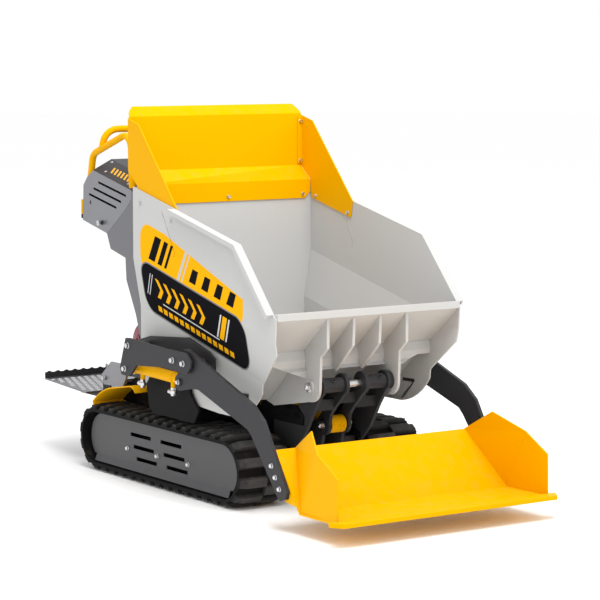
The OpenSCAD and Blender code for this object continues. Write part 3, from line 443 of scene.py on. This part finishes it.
FINISHES = {
    # Chassis black: the chassis's own black paint, deepened to near zero as painted shade so the upright and the
    # parts under the skip sink into the dark there.
    "chassis_black": enamel("chassis_black", (0.006, 0.006, 0.007), 0.5, clear=0.0, shine=0.05),
    "arm_grey": enamel("arm_grey", ARM_GREY, 0.45, clear=0.05, shine=0.15),
    "cover_grey": enamel("cover_grey", (0.043, 0.043, 0.047), 0.42),
    "track_rubber": rubber(),
    "wheel_steel": enamel("wheel_black", (0.012, 0.012, 0.013), 0.5, clear=0.05, shine=0.25),
    "yellow_paint": enamel("yellow_enamel", YELLOW, 0.45, clear=0.0, shine=0.06, tint=YELLOW_SHEEN),
    "skip_grey": enamel("skip_enamel", SKIP_GREY, 0.4),
    "console_grey": hammer_grey("console_metallic", CONSOLE_GREY),
    "panel_dark": lid_plastic(),
    "engine_metal": moulded("cast_engine", (0.10, 0.10, 0.105), 0.55, grain=400),
    "engine_red": moulded("maroon_shroud", (0.20, 0.010, 0.03), 0.34),
    "tank_red": enamel("tank_red", (0.22, 0.010, 0.02), 0.3, clear=0.5),
    "muffler_steel": bare_steel("muffler_steel", (0.42, 0.40, 0.38), 0.45),
    "tank_black": enamel("tank_black", (0.012, 0.012, 0.013), 0.4),
    "lever_black": moulded("lever_plastic", (0.014, 0.014, 0.015), 0.45),
    "pin_steel": bare_steel("zinc_steel", (0.66, 0.66, 0.67), 0.28),
    "rod_chrome": bare_steel("rod_chrome", (0.78, 0.79, 0.80), 0.12, streaks=0.05),
    "step_steel": bare_steel("step_steel", (0.22, 0.22, 0.235), 0.45),
}
SKIP_LIVERY = livery()
WELD = enamel("painted_weld", SKIP_GREY, 0.42)
OWN_FINISH = {"skip_side_right": SKIP_LIVERY, "skip_side_left": SKIP_LIVERY,
              "console_column": hammer_grey("column_metallic", shade(CONSOLE_GREY, 0.65)),
              "tip_pivot_pin": pivot_steel(pivots["skip_tip"])}

for part in frame["record"]["subparts"]:
    node = frame["nodes"][part["node"]]
    node.data.materials.clear()
    finish = OWN_FINISH.get(part["node"], FINISHES[part["material_slot"]])
    node.data.materials.append(finish.material)


# Bolts, nuts and caps

def hex_bolt(name, across, head):
    """A washer with a chamfered hexagon head on it; across the flats and head height in millimetres."""
    washer = turned(name + "_washer", 28, [(across * 0.68, 0), (across * 0.68, 1.4), (across * 0.63, 2.1)])
    corner = across / 2 / math.cos(math.pi / 6)
    hexagon = turned(name, 6, [(corner, 2), (corner, head + 1), (corner * 0.88, head + 2),
                               (corner * 0.62, head + 2), (corner * 0.58, head + 1.4)])
    return weld_together([hexagon, washer])


def domed_nut(name, across):
    washer = turned(name + "_washer", 28, [(across * 0.85, 0), (across * 0.85, 2.2), (across * 0.8, 2.8)])
    corner = across / 2 / math.cos(math.pi / 6)
    hexagon = turned(name, 6, [(corner, 2.5), (corner, 0.5 * across), (corner * 0.9, 0.55 * across)])
    dome = [(0.44 * across * math.cos(a), (0.5 + 0.36 * math.sin(a)) * across)
            for a in (math.radians(15 * i) for i in range(6))]
    crown = turned(name + "_crown", 24, dome + [(0.01, 0.86 * across)])
    return weld_together([hexagon, washer, crown])


large_bolt = hex_bolt("large_bolt", 15, 8)
small_bolt = hex_bolt("small_bolt", 12, 6)
board_bolt = hex_bolt("board_bolt", 10, 5)
pin_nut = domed_nut("pin_nut", 20)
lid_screw = turned("lid_screw", 20, [(5, 0), (5, 1.2), (4, 2.6), (2, 3.0), (1.8, 1.6)])
grease_boss = turned("grease_boss", 24, [(8, -3), (8, 3.4), (7.2, 4.2), (4.4, 4.2), (4.2, -1)])

bracket_face = high("arm_bracket_left").y
cover_face = high("track_left").y - 0.021
eye_face = high("arm_left").y
arm_face = eye_face - 0.005
hinge_end = high("step_bracket_left").y
skip_face = high("skip_side_left").y - 0.024


def both(points, face):
    """Spots at points of X and Z on the outer faces of both sides of the machine."""
    return [(Vector((x, side * face, z)), outward(side)) for x, z in points for side in (RIGHT, LEFT)]


def seen_along_y(joint):
    return pivots[joint].x, pivots[joint].z


arm_pin = seen_along_y("shovel_lift")
cylinder_pin = seen_along_y("lift_barrel_right_swing")
step_pin = seen_along_y("step_fold")
tip_pin = seen_along_y("skip_tip")
base_pin = seen_along_y("tip_barrel_swing")
rod_eye = (0.128, 0.391)
cover_bolts = [(-0.339, 0.103), (-0.143, 0.103), (0.055, 0.103)]
spacer_bolts = [(-0.177, 0.479), (0.109, 0.461)]
shovel_bolts = [(0.668, 0.197), (0.689, 0.164), (0.711, 0.131)]
board_bolts = [(-0.213, 0.947), (-0.017, 0.900)]
buffer_bolt = (-0.587, 0.356)
STEEL = FINISHES["pin_steel"]

set_out(large_bolt, both([arm_pin, cylinder_pin] + spacer_bolts, bracket_face),
        "bracket_bolts", "chassis", STEEL)
set_out(small_bolt, both(cover_bolts, cover_face), "frame_bolts", "chassis", STEEL)
set_out(board_bolt, both([step_pin], hinge_end) + both([buffer_bolt], hinge_end - 0.004),
        "step_bolts", "chassis", STEEL)
set_out(small_bolt, both(shovel_bolts, arm_face) + both([rod_eye], eye_face),
        "shovel_bolts", "shovel", STEEL)

board_inner = high("board_left").y - 0.004
inside = [(Vector((x, side * board_inner, z)), outward(-side))
          for x, z in board_bolts for side in (RIGHT, LEFT)]
board_front = high("board_rear").x
rear_bolt_z, flange_y = 0.954, 0.341
rear_row = [(Vector((board_front, y, rear_bolt_z)), AHEAD) for y in (-0.315, 0.008, 0.315)]
flange_front = board_front - 0.0537
flange_row = [(Vector((flange_front, side * flange_y, z)), AHEAD)
              for z in (1.204, 1.067) for side in (RIGHT, LEFT)]
set_out(board_bolt, both(board_bolts, skip_face) + inside + rear_row + flange_row,
        "board_bolts", "skip", STEEL)
pivot_end = high("tip_pivot_pin").y
set_out(pin_nut, both([tip_pin], pivot_end), "pivot_nuts", "skip", STEEL)
base_pin_end = 0.050
set_out(pin_nut, both([base_pin], base_pin_end), "base_nuts", "chassis", STEEL)
tube_r = 0.024
boss_facing = Vector((0.743, 0, 0.669))
bosses = [(Vector((tip_pin[0], y, tip_pin[1])) + tube_r * boss_facing, boss_facing) for y in (-0.085, 0.095)]
set_out(grease_boss, bosses, "grease_bosses", "chassis", FINISHES["arm_grey"])


# Raised tread on the step

step_low, step_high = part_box("step_plate")
bump = turned("tread_bump", 16, [(9, 0), (8.6, 1.2), (7, 2.2), (4, 2.5), (3.4, 1.6)])
row_gap, column_gap = 0.035, 0.027
tread_edge, front_half_w, narrowing = 0.018, 0.315, 0.0032
rows = range(int((step_high.x - step_low.x - 0.02) / row_gap))
columns = range(-12, 13)
tread = []
for row in rows:
    for column in columns:
        tread_y = (column + 0.5 * (row % 2)) * column_gap
        if abs(tread_y) < front_half_w - narrowing * row:
            tread.append((Vector((step_high.x - tread_edge - row * row_gap, tread_y, step_high.z)), UP))
# The tread bumps take a paler steel than the plate.
set_out(bump, tread, "step_tread", "step", bare_steel("pale_tread_steel", (0.62, 0.62, 0.63), 0.36))


# Plates behind the hook slots of the skip's sides

slot_top = slab("slot_top", (88, 3, 20), 0.8)
slot_leg = slab("slot_leg", (20, 3, 100), 0.8)
leg_way = Vector((0.060, 0, 0.058))
plate_y = 0.3316
top_x, top_z = 0.361, 0.358
leg_x, leg_z = 0.329, 0.302
set_out(slot_top, [(Vector((top_x, side * plate_y, top_z)), UP) for side in (RIGHT, LEFT)],
        "slot_plates", "skip", FINISHES["arm_grey"])
set_out(slot_leg, [(Vector((leg_x, side * plate_y, leg_z)), leg_way) for side in (RIGHT, LEFT)],
        "slot_leg_plates", "skip", FINISHES["arm_grey"])


# Lug ends along the tracks' edges

def belt_spot(run):
    """A point on the belt and the way it faces, a run along the loop from under the rear wheel."""
    straight, bend = FRONT_WHEEL - REAR_WHEEL, math.pi * BELT_R
    over_top = run >= straight + bend
    run -= (straight + bend) * over_top
    way = -1 if over_top else 1
    start = FRONT_WHEEL if over_top else REAR_WHEEL
    turn = max(run - straight, 0) / BELT_R
    facing = Vector((way * math.sin(turn), 0, -way * math.cos(turn)))
    middle = Vector((start + way * min(run, straight), 0, WHEEL_H))
    return middle + facing * BELT_R, facing, 0 if turn > 0 else math.pi / 2


lug_end = narrowed(slab("lug_end", (27, 36, 14), 2.5), (1, 0.72, 1))
lug_run = 2 * (FRONT_WHEEL - REAR_WHEEL + math.pi * BELT_R) / LUG_COUNT
edge_mid = high("track_left").y - 0.017
root_sink = 0.001
outer_lugs = [belt_spot(i * lug_run) for i in range(LUG_COUNT)]
for side, tag in ((RIGHT, "right"), (LEFT, "left")):
    spots = [(place - facing * root_sink + outward(side) * edge_mid, facing, spin)
             for place, facing, spin in outer_lugs]
    set_out(lug_end, spots, "lug_ends_" + tag, "chassis", FINISHES["track_rubber"])


# Webs under the mudguards and gussets on the pivot tower

# The webs stand at the mudguards' inboard walls, which are yellow; their chassis black is painted shade under the
# guards.
guard_web = slab("guard_web", (342, 6, 90), 1)
cut_off(guard_web, (-55, 0, 66), (-0.164, 0, 0.986))
cut_off(guard_web, (-55, 0, 66), (-0.457, 0, 0.889))
cut_off(guard_web, (90, 0, 88), (0.4, 0, 0.917))
web_x, web_y, web_z = -0.374, 0.235, 0.235
set_out(guard_web, [(Vector((web_x, side * web_y, web_z)), UP) for side in (RIGHT, LEFT)],
        "guard_webs", "chassis", FINISHES["chassis_black"])
guard_flap = slab("guard_flap", (3, 128, 15), 1)
flap_x, flap_y, flap_z = -0.544, 0.2955, 0.2285
set_out(guard_flap, [(Vector((flap_x, side * flap_y, flap_z)), UP) for side in (RIGHT, LEFT)],
        "guard_flaps", "chassis", FINISHES["yellow_paint"])
gusset = slab("tower_gusset", (236, 5, 62), 1)
cut_off(gusset, (-118, 0, 30), (-0.6, 0, 0.8))
gusset_x, gusset_y, gusset_z = 0.306, 0.1345, 0.263
set_out(gusset, [(Vector((gusset_x, side * gusset_y, gusset_z)), UP) for side in (RIGHT, LEFT)],
        "tower_gussets", "chassis", FINISHES["chassis_black"])


# Weld beads under the skip's front

bead = squash(turned("weld_scale", 10, [(4.2, 0), (3.8, 1.2), (2.4, 2.2), (0.1, 2.6)]), (1, 1.25, 1))


def bead_line(start, end, facing, pitch=0.0045):
    count = round((end - start).length / pitch)
    run = (end - start) / count
    return [(start + run * (i + 0.5), facing) for i in range(count)]


slope_foot = Vector((0.5, 0, 0.5455))
slope_top = Vector((0.572, 0, 0.6096))
slope_out = Vector((0.64, 0, -0.77))
rib_edges = [side * y + offset for side in (RIGHT, LEFT) for y in (0.051, 0.153) for offset in (-0.006, 0.006)]
beads = [spot for y in rib_edges
         for spot in bead_line(slope_foot + Vector((0, y, 0)), slope_top + Vector((0, y, 0)), slope_out)]
for side in (RIGHT, LEFT):
    seam = [Vector((x, side * y, z)) for x, y, z in ((0.5, 0.345, 0.5455), (0.548, 0.3515, 0.588),
                                                      (0.578, 0.3515, 0.615))]
    for start, end in zip(seam, seam[1:]):
        beads += bead_line(start, end, slope_out)
set_out(bead, beads, "rib_welds", "skip", WELD)


# Ports of the lift cylinders

nut = turned("union_nut", 6, [(10, 0), (10, 8), (8.6, 9)])
ring = turned("union_ring", 24, [(10.4, 9), (11.2, 10), (11.2, 20), (10.4, 21)])
cap = turned("union_cap", 6, [(9, 21), (9, 26), (7.6, 27.2), (4, 27.2), (3.6, 26.4)])
spigot = turned("union_spigot", 16, [(6, 8), (6, 14), (7.4, 15), (7.4, 25), (6, 26), (4.6, 26), (4.4, 24)])
side_spigot = copy_at(spigot, Vector((0, 0, 0.015)), AHEAD)
bpy.data.objects.remove(spigot)
union = weld_together([nut, ring, cap, side_spigot])
ports = [(-0.1669, 0.3632), (0.0282, 0.3584)]
cylinder_y = 0.380
for side, tag in ((RIGHT, "r"), (LEFT, "l")):
    spots = [(Vector((x, side * cylinder_y, z)), DOWN) for x, z in ports]
    set_out(union, spots, "port_unions_" + tag, "lift_barrel_" + tag, STEEL)


# Console fittings

lid_slope = Vector((0.186, 0.477, 0.859))
lid_screws = [(-0.730, 0.170, 1.0562), (-0.699, 0.213, 1.0254), (-0.539, 0.214, 0.9902)]
screws = [(Vector((x, side * y, z)), Vector((lid_slope.x, side * lid_slope.y, lid_slope.z)))
          for x, y, z in lid_screws for side in (RIGHT, LEFT)]
set_out(lid_screw, screws, "lid_screws", "chassis", STEEL)
console_side = outward(RIGHT) * high("console_housing").y
knob_spot = (console_side + Vector((-0.697, 0, 0.847)), outward(RIGHT))
knob_stem = turned("plain_stem", 20, [(8, 0), (8, 3), (5.5, 4), (5.5, 13)])
knob_nut = turned("plain_nut", 6, [(10, 12), (10, 19), (8.6, 20.4), (5, 20.4), (4.6, 19)])
set_out(knob_stem, [knob_spot], "knob_stem", "chassis", FINISHES["lever_black"])
set_out(knob_nut, [knob_spot], "knob_nut", "chassis", STEEL)
key_slot = squash(turned("plain_slot", 20, [(5, 0), (5, 0.8), (3.4, 1.0), (3.2, 0.3)]), (0.8, 1.4, 1))
set_out(key_slot, [(console_side + Vector((-0.780, 0, 0.914)), outward(RIGHT))], "key_slot", "chassis",
        FINISHES["lever_black"])

bar_half = 0.230
stop_bar = slab("plain_bar", (10, 2 * bar_half / MM, 53), 3)
bar_x = -0.846
set_out(stop_bar, [(Vector((bar_x, 0, 0.868)), UP)], "stop_bar", "chassis",
        FINISHES["yellow_paint"])
bar_foot = slab("bar_foot", (8, 2 * bar_half / MM, 16), 2)
set_out(bar_foot, [(Vector((bar_x, 0, 0.8535)), UP)], "stop_bar_foot", "chassis",
        FINISHES["lever_black"])
bar_stud = turned("bar_stud", 16, [(9, -2), (9, 5), (6, 7), (6, 14)])
studs = [(Vector((-0.843, y, 0.894)), AHEAD) for y in (-0.16, 0.16)]
set_out(bar_stud, studs, "stop_bar_studs", "chassis", STEEL)

masters = (large_bolt, small_bolt, board_bolt, pin_nut, lid_screw, grease_boss, bump, bead, union,
           knob_stem, knob_nut, key_slot, stop_bar, bar_foot, bar_stud, slot_top, slot_leg, lug_end, guard_web,
           guard_flap, gusset)
for master in masters:
    bpy.data.objects.remove(master)


# Softened edges on the painted sheet

def soften(node, width):
    piece = frame["nodes"][node]
    weld = piece.modifiers.new("joined_corners", "WELD")
    weld.merge_threshold = 0.00005
    edge = piece.modifiers.new("softened_edges", "BEVEL")
    edge.width = width
    edge.segments = 2
    edge.limit_method = "ANGLE"
    edge.angle_limit = math.radians(28)


SHEET_PIECES = ("board_rear", "board_right", "board_left", "shovel_pan", "cutting_edge",
                "arm_right", "arm_left", "arm_bracket_right", "arm_bracket_left",
                "console_housing", "console_column", "skip_ribs", "skip_front_beam",
                "track_cover_right", "track_cover_left", "pivot_tower")
EDGE_WIDTH = 0.0012
for node in SHEET_PIECES:
    soften(node, EDGE_WIDTH)


# Studio

def studio_floor():
    bpy.ops.object.select_all(action="DESELECT")
    bpy.ops.mesh.primitive_circle_add(vertices=96, radius=40, fill_type="NGON")
    floor = bpy.context.object
    floor.name = "studio_floor"
    finish = Finish("studio_floor", {"Specular IOR Level": 0.0})
    cloud = finish.noise(0.6, 3)
    finish.coat(colour=finish.mix(cloud, (0.985, 0.985, 0.985), (1.0, 1.0, 1.0)), roughness=0.8 + cloud * 0.1)
    floor.data.materials.append(finish.material)


def soft_light(name, place, aim, size, watts):
    light = bpy.data.lights.new(name, "AREA")
    light.shape = "RECTANGLE"
    light.size, light.size_y = size
    light.energy = watts
    lamp = bpy.data.objects.new(name, light)
    lamp.location = place
    lamp.rotation_euler = (Vector(aim) - Vector(place)).to_track_quat("-Z", "Y").to_euler()
    bpy.context.collection.objects.link(lamp)


def studio_air(brightness):
    world = bpy.data.worlds.new("studio_air")
    world.use_nodes = True
    air = world.node_tree.nodes["Background"]
    air.inputs["Color"].default_value = (1.0, 1.0, 1.0, 1.0)
    air.inputs["Strength"].default_value = brightness
    bpy.context.scene.world = world


def photo_camera():
    camera = bpy.data.cameras.new("photo_camera")
    camera.lens = 146.5
    camera.sensor_width = 36
    eye = bpy.data.objects.new("photo_camera", camera)
    eye.location = (6.798, -4.467, 1.497)
    eye.rotation_euler = Vector((-0.8231, 0.5577, -0.1071)).to_track_quat("-Z", "Y").to_euler()
    bpy.context.collection.objects.link(eye)
    bpy.context.scene.camera = eye


studio_floor()
studio_air(1.0)
soft_light("top_light", (1.6, -0.3, 4.4), (0.1, 0, 0.6), (2.6, 2.6), 175)
soft_light("front_light", (5.0, -0.4, 2.6), (0.2, 0, 0.6), (2.5, 2.5), 6)
photo_camera()
bpy.context.scene.view_settings.view_transform = "Standard"
